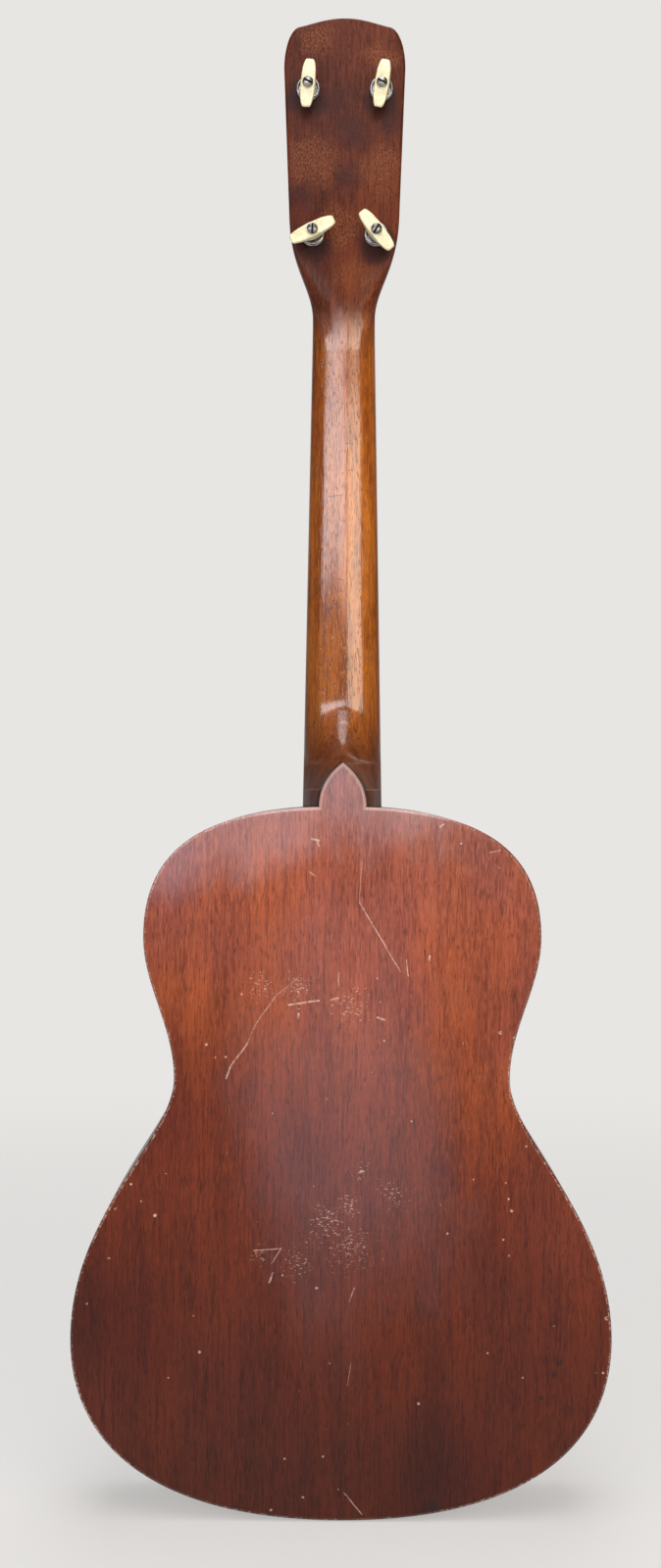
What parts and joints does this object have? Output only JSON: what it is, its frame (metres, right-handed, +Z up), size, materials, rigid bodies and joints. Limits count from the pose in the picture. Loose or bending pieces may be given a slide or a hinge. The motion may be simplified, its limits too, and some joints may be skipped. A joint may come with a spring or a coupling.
{
  "type": "tenor ukulele",
  "caption": "Figure-eight wooden tenor ukulele with a pointed heel cap, tapered headstock, friction pegs with cream wing buttons, fretted board and slotted bridge.",
  "frame": {"origin": "where a hanger's yoke carries the flare of the headstock, on the centreline, at mid-thickness of the headstock", "axes": "+Z up along the neck towards the top of the headstock, +Y out of the soundboard towards the strings, +X to the right as seen from the back"},
  "size_m": [0.2318, 0.0775, 0.658],
  "materials": {
    "body_mahogany": "satin lacquer, worn",
    "neck_mahogany": "satin lacquer, worn",
    "raw_mahogany": "bare, unlacquered",
    "rosewood": "oiled",
    "bone": "polished",
    "cream_celluloid": "aged cream, gloss",
    "nickel": "dull nickel plate",
    "screw_steel": "darkened steel",
    "fret_wire": "polished nickel silver",
    "string": "clear nylon"
  },
  "bodies": {
    "instrument": {"top_plate": "body_mahogany", "back_plate": "body_mahogany", "side_left": "body_mahogany", "side_right": "body_mahogany", "neck": "neck_mahogany", "head_block": "raw_mahogany", "tail_block": "raw_mahogany", "top_lining_left": "raw_mahogany", "top_lining_right": "raw_mahogany", "back_lining_left": "raw_mahogany", "back_lining_right": "raw_mahogany", "top_brace_upper": "raw_mahogany", "top_brace_lower": "raw_mahogany", "back_brace_upper": "raw_mahogany", "back_brace_middle": "raw_mahogany", "back_brace_lower": "raw_mahogany", "bridge_patch": "raw_mahogany", "neck_dowel": "raw_mahogany", "fretboard": "rosewood", "bridge": "rosewood", "nut": "bone", "saddle": "bone", "soundhole_ring": "bone", "fret_01": "fret_wire", "fret_02": "fret_wire", "fret_03": "fret_wire", "fret_04": "fret_wire", "fret_05": "fret_wire", "fret_06": "fret_wire", "fret_07": "fret_wire", "fret_08": "fret_wire", "fret_09": "fret_wire", "fret_10": "fret_wire", "fret_11": "fret_wire", "fret_12": "fret_wire", "fret_13": "fret_wire", "fret_14": "fret_wire", "fret_15": "fret_wire", "fret_16": "fret_wire", "fret_17": "fret_wire", "string_g": "string", "collar_g": "nickel", "string_c": "string", "collar_c": "nickel", "string_e": "string", "collar_e": "nickel", "string_a": "string", "collar_a": "nickel"},
    "peg_g": {"post_g": "nickel", "button_g": "cream_celluloid", "screw_g": "screw_steel"},
    "peg_c": {"post_c": "nickel", "button_c": "cream_celluloid", "screw_c": "screw_steel"},
    "peg_e": {"post_e": "nickel", "button_e": "cream_celluloid", "screw_e": "screw_steel"},
    "peg_a": {"post_a": "nickel", "button_a": "cream_celluloid", "screw_a": "screw_steel"}
  },
  "joints": [
    {"name": "peg_g_turn", "type": "hinge", "parent": "instrument", "child": "peg_g", "pos_m": [0.0142, 0, 0.0195], "axis": [0, -1, 0], "continuous": true},
    {"name": "peg_c_turn", "type": "hinge", "parent": "instrument", "child": "peg_c", "pos_m": [0.0164, 0, 0.0845], "axis": [0, -1, 0], "continuous": true},
    {"name": "peg_e_turn", "type": "hinge", "parent": "instrument", "child": "peg_e", "pos_m": [-0.0164, 0, 0.0845], "axis": [0, -1, 0], "continuous": true},
    {"name": "peg_a_turn", "type": "hinge", "parent": "instrument", "child": "peg_a", "pos_m": [-0.0142, 0, 0.0195], "axis": [0, -1, 0], "continuous": true}
  ]
}
